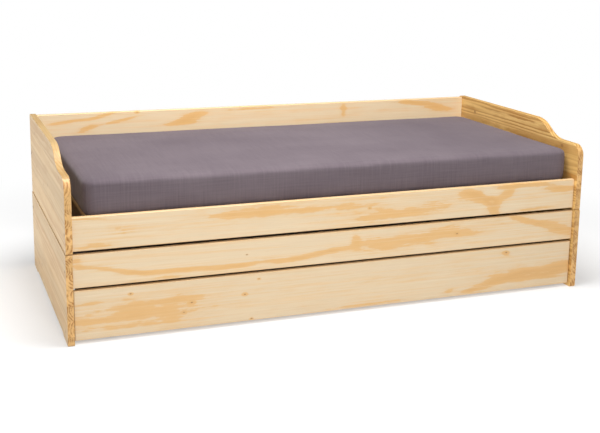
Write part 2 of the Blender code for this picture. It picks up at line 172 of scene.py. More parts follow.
def flatSawnPine(name, seed, grain="X", marks=(), knots=(), edges=None, wild=0.5, tint=1.0):
    # where the saw ran along a ring the late wood opens into broad flames; marks say where those lie
    # marks: (place along, place up, half length, half height, slope, weight); knots: (along, up, size)
    f = Finish(name)
    (x, y, z), _ = objectPlace(f)
    along, across, through = {"X": (x, z, y), "Y": (y, x, z), "side": (y, z, x)}[grain]
    fibre, streak, canal = fineGrain(f, along, across, through, seed)
    broad = f.noise(along * 1.1 + seed * 7.3, across * 7.0, through * 5.0 + seed, 2.0, 0.5)
    lesser = f.noise(along * 8.0, across * 30.0 + seed, seed, 5.0, 0.62)
    thread = f.noise(along * 2.2 + seed, across * 190.0, through * 60.0, 3.0, 0.6)
    field = (broad - 0.5) * (wild * 3.0) + (lesser - 0.5) * 1.15
    field = field + (streak - 0.5) * 0.34 + (thread - 0.5) * 0.26 + 0.14
    dark = None
    for placeAlong, placeUp, length, height, slope, weight in marks:
        run = along - placeAlong
        rise = across - placeUp - run * slope
        reach = run * run * (-1.0 / length ** 2) + rise * rise * (-1.0 / height ** 2)
        field = field + f.math("EXPONENT", reach) * weight
    for placeAlong, placeUp, size in knots:
        run = along - placeAlong
        rise = across - placeUp
        reach = f.math("SQRT", run * run * 0.35 + rise * rise) / size + (lesser - 0.5) * 1.2
        field = field + f.step(reach, 0.6, 3.2, 0.55, 0.0)
        core = f.step(reach, 0.25, 0.9, 1.0, 0.0)
        dark = core if dark is None else f.math("MAXIMUM", dark, core)
    wash = f.step(field, 0.05, 0.95)
    flame = f.step(field, 0.47, 0.56) * f.step(field, 1.30, 1.42, 1.0, 0.25)
    heart = f.step(field, 0.70, 1.20) * f.step(field, 1.30, 1.42, 1.0, 0.0)
    colour = f.mix(wash * 0.70, pineSet["early"], pineSet["late"])
    colour = f.mix(flame * 0.62, colour, pineSet["late"])
    colour = f.mix(heart * 0.20, colour, pineSet["deep"])
    colour = f.mix(f.step(streak, 0.46, 0.72) * 0.22, colour, pineSet["late"])
    colour = f.mix(f.step(thread, 0.52, 0.78) * 0.30, colour, pineSet["late"])
    colour = f.mix(f.step(thread, 0.46, 0.24) * 0.30, colour, pineSet["pale"])
    colour = f.mix(canal * 0.30, colour, pineSet["canal"])
    if dark is not None:
        colour = f.mix(dark * 0.85, colour, pineSet["knot"])
    # painted shade: a band from 1 to 5.5 mm in from the board's top and bottom edges is turned towards the
    # late-wood colour, standing in for the shading on the rounded edges
    if edges:
        low, high = edges
        half = (high - low) / 2
        reach = f.math("ABSOLUTE", across - (low + high) / 2)
        colour = f.mix(f.step(reach, half - 0.0055, half - 0.0010, 0.0, 0.40), colour, pineSet["late"])
    # each board's tone factor; for the back panel it is painted light, raising its colour where less light reaches
    # it
    shade = (fibre - 0.5) * 0.15 + (streak - 0.5) * 0.06 + tint
    colour = f.mix(1.0, colour, f.point(shade, shade, shade), "MULTIPLY")
    return lacquer(f, colour, fibre, flame * 0.25 - canal * 0.2)


panelSet = {
    "stave": 0.0565, "ringGap": 0.0125, "endGap": 0.0105, "coat": 0.03, "shine": 0.35,
    "endEarly": (0.700, 0.425, 0.165), "endLate": (0.360, 0.150, 0.036),
    "pale": {"early": (0.580, 0.408, 0.196), "late": (0.430, 0.235, 0.074), "figure": 0.90},
    "golden": {"early": (0.790, 0.510, 0.185), "late": (0.390, 0.175, 0.036), "figure": 1.0},
}


def stavedPine(name, seed, low, high, tone):
    # an end panel glued up from staves: each has its own heart, so rings curve across its front edge
    f = Finish(name)
    kind = panelSet[tone]
    (x, y, z), (_, facing, _) = objectPlace(f)
    through = x - (low.x + high.x) / 2
    pitch = panelSet["stave"]
    row = (z - low.z) / pitch + 0.35 * seed
    index = f.math("FLOOR", row)
    local = (row - index - 0.5) * pitch
    dice = f.parts(f.node("ShaderNodeTexWhiteNoise", {"noise_dimensions": "1D"}, {"W": index + seed * 13.7}, 1))
    fibre, streak, canal = fineGrain(f, y, z, through, seed)
    drift = f.noise(y * 1.7, index * 3.7 + seed, through * 3.0, 3.0, 0.5) - 0.5
    ripple = f.noise(y * 9.0, z * 40.0, through * 40.0 + seed, 3.0, 0.6) - 0.5
    lean = f.math("SIGN", dice[1] - 0.5)
    up = local - (dice[0] - 0.5) * 0.075 + drift * 0.034
    inward = through - lean * 0.026 - (dice[1] - 0.5) * 0.050 + drift * 0.016
    spread = f.math("SQRT", up * up + inward * inward) + ripple * 0.0036
    endwise = f.step(f.math("ABSOLUTE", facing), 0.35, 0.80)
    pace = dice[2] * 0.75 + 0.55  # slow growth in one stave, fast in the next
    ring = f.math("FRACT", spread / (pace * panelSet["ringGap"]) + dice[2])
    late = f.step(ring, 0.25, 0.86) * f.step(ring, 0.90, 1.0, 1.0, 0.0)
    fine = f.math("FRACT", spread / (pace * panelSet["endGap"]) + dice[2] * 3.0 + ripple * 0.9)
    uneven = f.noise(y * 20.0, z * 38.0 + seed, through * 38.0, 3.0, 0.6)
    endLate = f.step(fine, 0.30, 0.78) * f.step(fine, 0.86, 1.0, 1.0, 0.0) * f.step(uneven, 0.38, 0.60, 0.10, 1.0)
    broad = f.noise(y * 1.4 + seed * 5.0, index * 2.3, seed, 2.0, 0.5)
    strength = f.step(broad, 0.30, 0.62, 0.45, 1.0) * (dice[0] * 0.7 + 0.3)
    colour = f.mix(late * strength * kind["figure"], kind["early"], kind["late"])
    colour = f.mix(f.step(streak, 0.44, 0.72) * strength * (0.6 * kind["figure"]), colour, kind["late"])
    colour = f.mix(dice[1] * 0.22, colour, kind["late"])
    mottle = f.noise(y * 5.0 + seed, z * 22.0, through * 9.0, 4.0, 0.62)
    colour = f.mix(f.step(mottle, 0.50, 0.68) * 0.45, colour, kind["late"])
    fleck = f.node("ShaderNodeTexVoronoi", {}, {"Vector": f.point(y * 9.0, z * 13.0, through * 3.0), "Scale": 1.0})
    colour = f.mix(f.step(fleck, 0.05, 0.13, 0.70, 0.0), colour, pineSet["knot"])
    colour = f.mix(canal * 0.40, colour, pineSet["canal"])
    cut = f.mix(f.step(uneven, 0.40, 0.66) * 0.5, panelSet["endEarly"], kind["late"])
    colour = f.mix(endwise, colour, f.mix(endLate, cut, panelSet["endLate"]))
    seam = f.step(f.math("ABSOLUTE", local), pitch * 0.485, pitch * 0.5, 0.0, 1.0)
    shade = (fibre - 0.5) * 0.15 + (dice[2] - 0.5) * 0.20 - seam * 0.10 + 1.0
    colour = f.mix(1.0, colour, f.point(shade, shade, shade), "MULTIPLY")
    material = lacquer(f, colour, fibre, late * 0.35 - seam * 0.5, endwise * 0.08)
    f.set(Coat_Weight=panelSet["coat"], Specular_IOR_Level=panelSet["shine"])
    return material


sheetSet = {
    "colour": (0.102, 0.079, 0.094), "light": (0.174, 0.141, 0.156), "groove": (0.085, 0.066, 0.074),
    "wale": 0.0021, "course": 0.0026, "sheen": 0.18, "sheenTint": (0.86, 0.80, 0.84, 1.0),
    "tuck": 0.07, "thick": 0.0011, "turn": 0.03, "cornerIn": 0.06, "cornerReach": 0.22,
    "lift": {"all": 0.0014, "ease": 0.0016, "drawn": 0.0013, "brow": 0.0016, "pleat": 0.0022, "least": 0.0005},
}


def jersey(name):
    # fine knit: wales run over the edge and down the sides, which the sheet's own map follows
    f = Finish(name)
    made = f.tree.nodes.new("ShaderNodeAttribute")
    made.attribute_name = "knit"
    u, v, _ = f.parts(Wire(f, made.outputs["Vector"]))
    wale = f.math("SINE", u * (2 * math.pi / sheetSet["wale"]) + f.noise(u * 40, v * 12, 0, 1.0) * 3.0)
    course = f.math("SINE", v * (2 * math.pi / sheetSet["course"]) + f.noise(u * 12, v * 40, 3, 1.0) * 3.0)
    slubWide = f.noise(u * 6.0, v * 150.0, 0.0, 3.0, 0.6)
    slubLong = f.noise(u * 150.0, v * 6.0, 5.0, 3.0, 0.6)
    cloud = f.noise(u * 2.4, v * 3.1, 9.0, 2.0, 0.5)
    share = (slubWide - 0.5) * 0.40 + (slubLong - 0.5) * 0.50 + (cloud - 0.5) * 0.7 + 0.45
    colour = f.mix(f.step(share, 0.0, 0.9), sheetSet["colour"], sheetSet["light"])
    knitted = (wale + course) * 0.25 + 0.5
    colour = f.mix(knitted * 0.12, colour, sheetSet["groove"])
    f.bump(knitted * 0.6 + slubWide * 0.12 + slubLong * 0.12, 0.0004, 0.40)
    return f.set(Base_Color=colour, Roughness=0.95, Sheen_Weight=sheetSet["sheen"], Sheen_Roughness=0.45,
                 Sheen_Tint=sheetSet["sheenTint"], Specular_IOR_Level=0.15)


threadSet = {"light": (0.150, 0.122, 0.134), "dark": (0.105, 0.084, 0.094), "twist": 9000.0}


def seamThread(name):
    f = Finish(name)
    (x, y, z), _ = objectPlace(f)
    twist = f.math("SINE", (x + y + z) * threadSet["twist"])
    colour = f.mix(twist * 0.5 + 0.5, threadSet["light"], threadSet["dark"])
    f.bump(twist, 0.0001, 0.5)
    return f.set(Base_Color=colour, Roughness=0.9)


coverSet = {"light": (0.78, 0.76, 0.70), "dark": (0.66, 0.64, 0.58), "quilt": 24.0}


def ticking(name):
    # the mattress's own cover under the sheet: off-white quilted cotton
    f = Finish(name)
    (x, y, z), _ = objectPlace(f)
    pitch = coverSet["quilt"]
    quilt = f.math("ABSOLUTE", f.math("SINE", (x + y) * pitch) * f.math("SINE", (x - y) * pitch))
    thread = f.noise(x * 500, y * 500, z * 500, 2.0)
    colour = f.mix(thread * 0.5, coverSet["light"], coverSet["dark"])
    f.bump(quilt + thread * 0.1, 0.0012, 0.6)
    return f.set(Base_Color=colour, Roughness=0.9)


tapeSet = {"light": (0.66, 0.64, 0.58), "dark": (0.44, 0.42, 0.38), "warp": 0.0016, "weft": 0.0020}


def webbing(name):
    f = Finish(name)
    (x, y, _), _ = objectPlace(f)
    warp = f.math("SINE", y * (2 * math.pi / tapeSet["warp"]))
    weft = f.math("SINE", x * (2 * math.pi / tapeSet["weft"]))
    colour = f.mix(warp * weft * 0.4 + 0.5, tapeSet["light"], tapeSet["dark"])
    f.bump(warp * weft * 0.5, 0.0003, 0.6)
    return f.set(Base_Color=colour, Roughness=0.85)


def metal(name, colour, roughness, worn):
    f = Finish(name)
    (x, y, z), _ = objectPlace(f)
    cloud = f.noise(x * 130, y * 130, z * 130, 3.0, 0.6)
    fine = f.noise(x * 900, y * 900, z * 900, 2.0)
    tone = f.mix(f.step(cloud, 0.4, 0.75) * 0.5, colour, worn)
    f.bump(fine, 0.0001, 0.25)
    return f.set(Base_Color=tone, Roughness=(cloud - 0.5) * 0.25 + roughness, Metallic=1.0)


def moulded(name, colour, roughness):
    f = Finish(name)
    (x, y, z), _ = objectPlace(f)
    pebble = f.noise(x * 700, y * 700, z * 700, 2.0)
    dust = f.step(f.noise(x * 60, y * 60, z * 60, 2.0), 0.45, 0.7)
    tone = f.mix(dust * 0.25, colour, (0.20, 0.19, 0.18))
    f.bump(pebble, 0.0002, 0.4)
    return f.set(Base_Color=tone, Roughness=dust * 0.12 + roughness)


def beech(name):
    f = Finish(name)
    (x, y, z), _ = objectPlace(f)
    fleck = f.noise(x * 900, y * 900, z * 60, 2.0)
    colour = f.mix(f.step(fleck, 0.5, 0.7), (0.60, 0.42, 0.27), (0.42, 0.26, 0.15))
    f.bump(fleck, 0.0002, 0.3)
    return f.set(Base_Color=colour, Roughness=0.6)


def showAs(obj, material, body, slot, *nodes):
    obj.data.materials.clear()
    obj.data.materials.append(material)
    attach(obj, body)
    if nodes:
        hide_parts(*nodes)
    return obj


def newObject(name, mesh):
    obj = bpy.data.objects.new(name, mesh)
    scene.collection.objects.link(obj)
    return obj


def meshFrom(bm, name):
    mesh = bpy.data.meshes.new(name)
    bm.to_mesh(mesh)
    bm.free()
    return mesh


def settle(obj):
    # the evaluated object as a plain mesh, with no modifier left on it
    bpy.context.view_layer.update()
    plain = bpy.data.meshes.new_from_object(obj.evaluated_get(bpy.context.evaluated_depsgraph_get()))
    obj.modifiers.clear()
    obj.data = plain
    return obj


boardSet = {"weld": 2e-5, "flat": 1.0, "sharp": 42}


def dressBoard(node, name, material, body, slot):
    # a welded copy of a CAD board, so that its rounded edges shade smoothly into its flat faces
    bm = bmesh.new()
    bm.from_mesh(nodeOf[node].data)
    bmesh.ops.remove_doubles(bm, verts=bm.verts, dist=boardSet["weld"])
    bmesh.ops.dissolve_limit(bm, angle_limit=math.radians(boardSet["flat"]), verts=bm.verts, edges=bm.edges)
    mesh = meshFrom(bm, name)
    mesh.shade_smooth()
    mesh.set_sharp_from_angle(angle=math.radians(boardSet["sharp"]))
    obj = newObject(name, mesh)
    weigh = obj.modifiers.new("flat faces stay flat", "WEIGHTED_NORMAL")
    weigh.keep_sharp = True
    settle(obj)
    return showAs(obj, material, body, slot, node)


frontSet = {
    "upper_front_rail": {"seed": 1.3, "wild": 0.10, "tint": 1.0, "marks": (
        (-0.83, 0.398, 0.16, 0.026, -0.05, 0.34), (-0.96, 0.352, 0.10, 0.018, 0.02, 0.42),
        (-0.97, 0.449, 0.09, 0.008, -0.06, 0.60), (-0.44, 0.419, 0.17, 0.022, 0.01, 0.62),
        (-0.505, 0.441, 0.030, 0.008, 0.0, -0.85), (-0.12, 0.418, 0.26, 0.030, 0.02, 0.46),
        (0.22, 0.372, 0.26, 0.030, 0.10, 0.50), (0.560, 0.418, 0.080, 0.026, -0.30, 0.85),
        (0.635, 0.378, 0.034, 0.040, -0.60, 0.80), (0.700, 0.418, 0.040, 0.020, 0.30, 0.62),
        (0.620, 0.428, 0.026, 0.014, 0.0, -0.95),
        (0.770, 0.446, 0.15, 0.011, 0.03, 0.75), (0.935, 0.424, 0.075, 0.016, -0.08, 0.70),
        (0.860, 0.348, 0.16, 0.011, 0.03, 0.45)), "knots": ((0.10, 0.405, 0.0022),)},
    "base_front_rail": {"seed": 5.2, "wild": 0.06, "tint": 0.99, "marks": (
        (-1.00, 0.300, 0.030, 0.032, -0.2, 0.45), (-0.86, 0.256, 0.13, 0.011, -0.20, 0.72),
        (-0.66, 0.237, 0.17, 0.010, -0.02, 0.70), (-0.40, 0.231, 0.20, 0.010, 0.05, 0.60),
        (-0.12, 0.243, 0.16, 0.011, 0.12, 0.58), (0.045, 0.283, 0.022, 0.034, -0.25, 0.55),
        (0.26, 0.268, 0.26, 0.050, 0.02, 0.52),
        (0.50, 0.282, 0.20, 0.030, 0.02, 0.30), (0.82, 0.292, 0.12, 0.016, -0.30, 0.72),
        (0.96, 0.256, 0.075, 0.028, -0.30, 0.52), (-0.83, 0.212, 0.20, 0.010, 0.0, 0.30),
        (-0.36, 0.282, 0.40, 0.028, 0.03, -0.50)),
        "knots": ((-0.387, 0.268, 0.0042), (0.48, 0.272, 0.0034))},
    "trundle_front_panel": {"seed": 8.6, "wild": 0.08, "tint": 0.955, "marks": (
        (-0.76, 0.121, 0.24, 0.010, 0.03, 0.46), (-0.91, 0.080, 0.15, 0.013, 0.05, 0.50),
        (-0.93, 0.143, 0.12, 0.008, 0.02, 0.35), (-0.86, 0.046, 0.22, 0.013, 0.02, 0.38),
        (-0.72, 0.090, 0.30, 0.050, 0.00, 0.42), (0.10, 0.022, 0.20, 0.007, 0.02, 0.62),
        (0.455, 0.037, 0.035, 0.012, 0.10, 0.60), (0.600, 0.040, 0.11, 0.014, 0.16, 0.80),
        (0.790, 0.070, 0.12, 0.020, 0.04, 0.90), (0.960, 0.080, 0.10, 0.026, 0.14, 0.85),
        (0.80, 0.085, 0.26, 0.050, 0.0, 0.30), (0.720, 0.029, 0.030, 0.008, 0.0, -0.90),
        (0.705, 0.168, 0.030, 0.012, -0.3, 0.45),
        (0.05, 0.110, 0.35, 0.022, 0.02, 0.14)),
        "knots": ((-0.595, 0.108, 0.0040), (-0.394, 0.117, 0.0038), (-0.816, 0.165, 0.0032),
                  (-0.624, 0.074, 0.0030), (-0.368, 0.020, 0.0034), (-0.340, 0.171, 0.0026),
                  (0.71, 0.173, 0.0044))},
    # the back panel's tone of 1.13 is painted light: its colour is raised to make up for the weaker light that
    # reaches it
    "back_panel": {"seed": 11.9, "wild": 0.10, "tint": 1.13, "marks": (
        (-0.90, 0.624, 0.12, 0.008, 0.12, 0.62), (-0.745, 0.643, 0.06, 0.008, 0.25, 0.60),
        (-0.81, 0.590, 0.05, 0.018, 0.30, 0.62), (-0.66, 0.622, 0.10, 0.008, 0.20, 0.66),
        (-0.345, 0.625, 0.075, 0.016, 0.20, 0.80), (-0.40, 0.598, 0.10, 0.012, 0.05, 0.62),
        (-0.05, 0.648, 0.20, 0.006, 0.02, 0.45), (0.385, 0.630, 0.018, 0.040, 0.0, 0.48),
        (0.740, 0.643, 0.085, 0.010, -0.10, 0.78), (0.880, 0.615, 0.085, 0.018, -0.20, 0.76),
        (0.400, 0.500, 0.50, 0.030, 0.02, 0.50), (-0.60, 0.440, 0.40, 0.040, -0.02, 0.50)),
        "knots": ((-0.587, 0.656, 0.0040), (0.20, 0.420, 0.0060), (-0.25, 0.520, 0.0050))},
}
endSet = {
    "upper_left_end_panel": {"seed": 1.0, "tone": "pale"},
    "base_left_end_panel": {"seed": 4.0, "tone": "pale"},
    "upper_right_end_panel": {"seed": 7.0, "tone": "golden"},
    "base_right_end_panel": {"seed": 9.0, "tone": "golden"},
}
carcassSet = {
    "base_rear_rail": "X", "trundle_back_board": "X", "upper_front_bearer": "X", "upper_rear_bearer": "X",
    "trundle_front_bearer": "X", "trundle_rear_bearer": "X", "trundle_left_side": "side",
    "trundle_right_side": "side", "trundle_stop_left": "side", "trundle_stop_right": "side",
}


def plainName(node):
    first, *rest = node.split("_")
    return first + "".join(word.capitalize() for word in rest)


def finishBoards():
    for node, look in frontSet.items():
        low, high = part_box(node)
        wood = flatSawnPine(plainName(node) + "Pine", look["seed"], "X", look["marks"], look["knots"],
                            (low.z, high.z), look["wild"], look["tint"])
        dressBoard(node, plainName(node), wood, bodyOf[node], "front_pine")
    for node, look in endSet.items():
        wood = stavedPine(plainName(node) + "Pine", look["seed"], *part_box(node), look["tone"])
        dressBoard(node, plainName(node), wood, bodyOf[node], "end_pine")
    plain = {grain: flatSawnPine(f"carcassPine{grain}", 21.0 + i, grain, wild=0.42, tint=0.97)
             for i, grain in enumerate(("X", "side"))}
    for node, grain in carcassSet.items():
        dressBoard(node, plainName(node), plain[grain], bodyOf[node], "carcass_pine")


class Grower:
    def __init__(self, name, inputs):
        self.tree = bpy.data.node_groups.new(name, "GeometryNodeTree")
        face = self.tree.interface
        face.new_socket(name="Geometry", in_out="OUTPUT", socket_type="NodeSocketGeometry")
        face.new_socket(name="Geometry", in_out="INPUT", socket_type="NodeSocketGeometry")
        self.keys = {}
        for label, (kind, value) in inputs.items():
            socket = face.new_socket(name=label, in_out="INPUT", socket_type="NodeSocket" + kind)
            if value is not None:
                socket.default_value = value
            self.keys[label] = socket.identifier
        self.source = self.tree.nodes.new("NodeGroupInput")
        self.end = self.tree.nodes.new("NodeGroupOutput")

    def node(self, kind, settings=None, **inputs):
        made = self.tree.nodes.new(kind)
        for key, value in (settings or {}).items():
            setattr(made, key, value)
        for key, value in inputs.items():
            self.feed(made.inputs[key.replace("_", " ")], value)
        return made

    def feed(self, socket, value):
        if isinstance(value, bpy.types.NodeSocket):
            self.tree.links.new(value, socket)
        else:
            socket.default_value = value

    def math(self, operation, a, b=0.0):
        made = self.node("ShaderNodeMath", {"operation": operation})
        self.feed(made.inputs[0], a)
        self.feed(made.inputs[1], b)
        return made.outputs[0]

    def take(self, label):
        return self.source.outputs[label]

    def grow(self, name, mesh, material, **values):
        # realize, set the material, and hand back a plain mesh object
        obj = newObject(name, mesh)
        mod = obj.modifiers.new(self.tree.name, "NODES")
        mod.node_group = self.tree
        mod[self.keys["Material"]] = material
        for label, value in values.items():
            mod[self.keys[label.replace("_", " ")]] = value
        return settle(obj)

    def close(self, geometry):
        real = self.node("GeometryNodeRealizeInstances", Geometry=geometry)
        paint = self.node("GeometryNodeSetMaterial", Geometry=real.outputs[0], Material=self.take("Material"))
        self.tree.links.new(paint.outputs[0], self.end.inputs[0])


slatSet = {
    "count": 12, "bandWidth": 0.025, "bandThick": 0.0010, "bandPlaces": (-0.25, 0.25), "bandPoints": 133,
    "bandEnd": 0.005, "sag": 0.0012, "upperSag": 0.0015,
}


def boardGrower():
    # a row of boards with rounded long edges, each swept along Y from a filleted section
    g = Grower("row of slats", {
        "Material": ("Material", None), "Count": ("Int", 12), "Start": ("Vector", (0, 0, 0)),
        "Pitch": ("Float", 0.16), "Width": ("Float", 0.08), "Thickness": ("Float", 0.018),
        "Length": ("Float", 0.9), "Rounding": ("Float", 0.0025)})
    step = g.node("ShaderNodeCombineXYZ", X=g.take("Pitch"))
    line = g.node("GeometryNodeMeshLine", {"mode": "OFFSET"}, Count=g.take("Count"),
                  Start_Location=g.take("Start"), Offset=step.outputs[0])
    section = g.node("GeometryNodeCurvePrimitiveQuadrilateral", Width=g.take("Width"), Height=g.take("Thickness"))
    fillet = g.node("GeometryNodeFilletCurve", {"mode": "POLY"}, Curve=section.outputs[0],
                    Count=3, Radius=g.take("Rounding"))
    far = g.node("ShaderNodeCombineXYZ", Y=g.take("Length"))
    spine = g.node("GeometryNodeCurvePrimitiveLine", End=far.outputs[0])
    body = g.node("GeometryNodeCurveToMesh", Curve=spine.outputs[0], Profile_Curve=fillet.outputs[0],
                  Fill_Caps=True)
    placed = g.node("GeometryNodeInstanceOnPoints", Points=line.outputs[0], Instance=body.outputs[0])
    g.close(placed.outputs[0])
    return g


def bandGrower():
    # a woven band that dips a little between the slats it is stapled to
    g = Grower("slat band", {
        "Material": ("Material", None), "Start": ("Vector", (0, 0, 0)), "Length": ("Float", 1.9),
        "Pitch": ("Float", 0.16), "Sag": ("Float", 0.001), "Width": ("Float", 0.025),
        "Thickness": ("Float", 0.001)})
    far = g.node("ShaderNodeCombineXYZ", X=g.take("Length"))
    spine = g.node("GeometryNodeCurvePrimitiveLine", End=far.outputs[0])
    fine = g.node("GeometryNodeResampleCurve", Curve=spine.outputs[0], Count=slatSet["bandPoints"])
    at = g.node("GeometryNodeInputPosition")
    apart = g.node("ShaderNodeSeparateXYZ", Vector=at.outputs[0])
    turns = g.math("DIVIDE", apart.outputs[0], g.take("Pitch"))
    dip = g.math("ABSOLUTE", g.math("SINE", g.math("MULTIPLY", turns, math.pi)))
    down = g.math("MULTIPLY", g.math("MULTIPLY", dip, g.take("Sag")), -1.0)
    shift = g.node("ShaderNodeCombineXYZ", Z=down)
    moved = g.node("GeometryNodeSetPosition", Geometry=fine.outputs[0], Offset=shift.outputs[0])
    section = g.node("GeometryNodeCurvePrimitiveQuadrilateral", Width=g.take("Width"), Height=g.take("Thickness"))
    strip = g.node("GeometryNodeCurveToMesh", Curve=moved.outputs[0], Profile_Curve=section.outputs[0],
                   Fill_Caps=True)
    place = g.node("GeometryNodeTransform", Geometry=strip.outputs[0], Translation=g.take("Start"))
    g.close(place.outputs[0])
    return g


def screwGrower():
    # one screw head on each point, turned to face the way the point's "aim" says
    g = Grower("screw heads", {
        "Material": ("Material", None), "Head": ("Object", None), "Size": ("Float", 1.0)})
    aim = g.node("GeometryNodeInputNamedAttribute", {"data_type": "FLOAT_VECTOR"}, Name="aim")
    turn = g.node("FunctionNodeAlignRotationToVector", {"axis": "Z"}, Vector=aim.outputs[0])
    head = g.node("GeometryNodeObjectInfo", Object=g.take("Head"))
    placed = g.node("GeometryNodeInstanceOnPoints", Points=g.take("Geometry"), Instance=head.outputs["Geometry"],
                    Rotation=turn.outputs[0], Scale=g.take("Size"))
    g.close(placed.outputs[0])
    return g


screwSet = {
    "rings": ((0.0040, -0.0009, 0), (0.0040, -0.0001, 0), (0.0037, 0.0002, 0), (0.0021, 0.0002, 0.0005),
              (0.0019, -0.0008, 0.0005)),
    "sides": 24, "sharp": 35, "upperHalf": 0.88, "upperCount": 6, "boxHalf": 0.70, "boxCount": 5,
    "stopEdge": 0.015, "boxIn": 0.009, "boxEdge": 0.030, "plateX": 0.0175, "plateY": 0.014, "plateThick": 0.0022,
}


def stackedRings(name, rings, reach, sharp):
    # closed rings joined from the bottom up; reach(radius, mark, angle) is how far out a point lies
    sides = screwSet["sides"]
    bm = bmesh.new()
    loops = []
    for radius, z, mark in rings:
        loop = []
        for i in range(sides):
            angle = 2 * math.pi * i / sides
            r = reach(radius, mark, angle)
            loop.append(bm.verts.new((r * math.cos(angle), r * math.sin(angle), z)))
        loops.append(loop)
    for lower, upper in zip(loops, loops[1:]):
        for i in range(sides):
            j = (i + 1) % sides
            bm.faces.new((lower[i], lower[j], upper[j], upper[i]))
    bm.faces.new(loops[-1])
    bm.faces.new(list(reversed(loops[0])))
    mesh = meshFrom(bm, name)
    mesh.shade_smooth()
    mesh.set_sharp_from_angle(angle=math.radians(sharp))
    return mesh


def screwHead():
    # a countersunk head with a six-lobed recess, its face at z = 0; a ring's mark is the depth of its lobes
    def lobed(radius, lobe, angle):
        return radius - lobe * (1 - math.cos(angle * 6)) * 0.5
    return stackedRings("screwHead", screwSet["rings"], lobed, screwSet["sharp"])


def aimedPoints(name, spots):
    points = bpy.data.meshes.new(name)
    points.from_pydata([place for place, _ in spots], [], [])
    aims = points.attributes.new("aim", "FLOAT_VECTOR", "POINT")
    aims.data.foreach_set("vector", [value for _, way in spots for value in way])
    return points


def alongLine(half, count):
    return [half * (2 * i / (count - 1) - 1) for i in range(count)]


def screwSpots():
    # places and directions of the screws, worked out from the boards they hold: body -> [(place, aim)]
    spots = {"bed": [], "trundle": []}
    for node, way in (("upper_front_bearer", 1), ("upper_rear_bearer", -1)):
        low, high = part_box(node)
        face = high.y if way > 0 else low.y
        for x in alongLine(screwSet["upperHalf"], screwSet["upperCount"]):
            spots["bed"].append(((x, face, (low.z + high.z) / 2), (0, way, 0)))
    for node, way in (("trundle_stop_left", 1), ("trundle_stop_right", -1)):
        low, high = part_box(node)
        face = high.x if way > 0 else low.x
        for z in (low.z + screwSet["stopEdge"], high.z - screwSet["stopEdge"]):
            spots["bed"].append(((face, (low.y + high.y) / 2, z), (way, 0, 0)))
    for node, way in (("trundle_front_bearer", 1), ("trundle_rear_bearer", -1)):
        low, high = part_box(node)
        face = high.y if way > 0 else low.y
        for x in alongLine(screwSet["boxHalf"], screwSet["boxCount"]):
            spots["trundle"].append(((x, face, (low.z + high.z) / 2), (0, way, 0)))
    low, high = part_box("trundle_back_board")
    for x in (low.x + screwSet["boxIn"], high.x - screwSet["boxIn"]):
        for z in (low.z + screwSet["boxEdge"], high.z - screwSet["boxEdge"]):
            spots["trundle"].append(((x, high.y, z), (0, 1, 0)))
    for node in [n for n in nodeOf if n.startswith("caster_bracket")]:
        low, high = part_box(node)
        middle = (low + high) / 2
        for sx in (-1, 1):
            for sy in (-1, 1):
                place = (middle.x + sx * screwSet["plateX"], middle.y + sy * screwSet["plateY"],
                         high.z - screwSet["plateThick"])
                spots["trundle"].append((place, (0, 0, -1)))
    return spots


def makeSlats(steel):
    # the trundle's rolled slat mat, and the bands under the upper slats
    slatWood = flatSawnPine("slatPine", 31.0, "Y", wild=0.55)
    tape = webbing("bandWebbing")
    for node in [n for n in nodeOf if n.startswith("upper_slat_")]:
        nodeOf[node].data.materials.clear()
        nodeOf[node].data.materials.append(slatWood)
    low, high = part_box("trundle_slat_mat")
    thick = high.z - low.z - slatSet["bandThick"]
    first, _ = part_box("upper_slat_01")
    second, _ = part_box("upper_slat_02")
    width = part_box("upper_slat_01")[1].x - first.x
    start = low.x + width / 2
    pitch = -2 * start / (slatSet["count"] - 1)
    mat = boardGrower().grow("trundleSlats", bpy.data.meshes.new("seed"), slatWood, Count=slatSet["count"],
                             Start=(start, low.y, low.z + thick / 2), Pitch=pitch, Width=width,
                             Thickness=thick, Length=high.y - low.y)
    showAs(mat, slatWood, "trundle", "slat_pine", "trundle_slat_mat")
    upperPitch = second.x - first.x
    bands = bandGrower()
    upperLow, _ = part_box("upper_slat_01")
    _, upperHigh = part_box("upper_slat_12")
    end, thin = slatSet["bandEnd"], slatSet["bandThick"]
    sets = (
        ("trundle", low.x + end, high.x - end, low.z + thick + thin * 0.5, pitch, slatSet["sag"]),
        ("bed", upperLow.x + end, upperHigh.x - end, upperLow.z - thin * 0.6, upperPitch, slatSet["upperSag"]),
    )
    for body, left, right, z, gap, sag in sets:
        for i, y in enumerate(slatSet["bandPlaces"]):
            strip = bands.grow(f"{body}SlatBand{i + 1}", bpy.data.meshes.new("seed"), tape,
                               Start=(left, y, z), Length=right - left, Pitch=gap, Sag=sag,
                               Width=slatSet["bandWidth"], Thickness=slatSet["bandThick"])
            showAs(strip, tape, body, "slat_pine")
    head = newObject("screwHeadPattern", screwHead())
    heads = screwGrower()
    for body, spots in screwSpots().items():
        screws = heads.grow(body + "Screws", aimedPoints(body + "ScrewPoints", spots), steel, Head=head, Size=1.0)
        showAs(screws, steel, body, "zinc_steel")
    bpy.data.objects.remove(head)


foamSet = {
    "voxel": 0.013, "corner": 0.042, "edge": 0.015, "shrink": 0.002, "cap": 0.005, "frames": 20,
    "cover": {"quality": 5, "mass": 0.3, "tension_stiffness": 40, "compression_stiffness": 40,
              "bending_stiffness": 8, "use_pressure": True, "uniform_pressure_force": 4.0},
    "drawIn": 0.004, "drawReach": 0.16, "drawTop": 0.72, "drawDepth": 0.6,
}


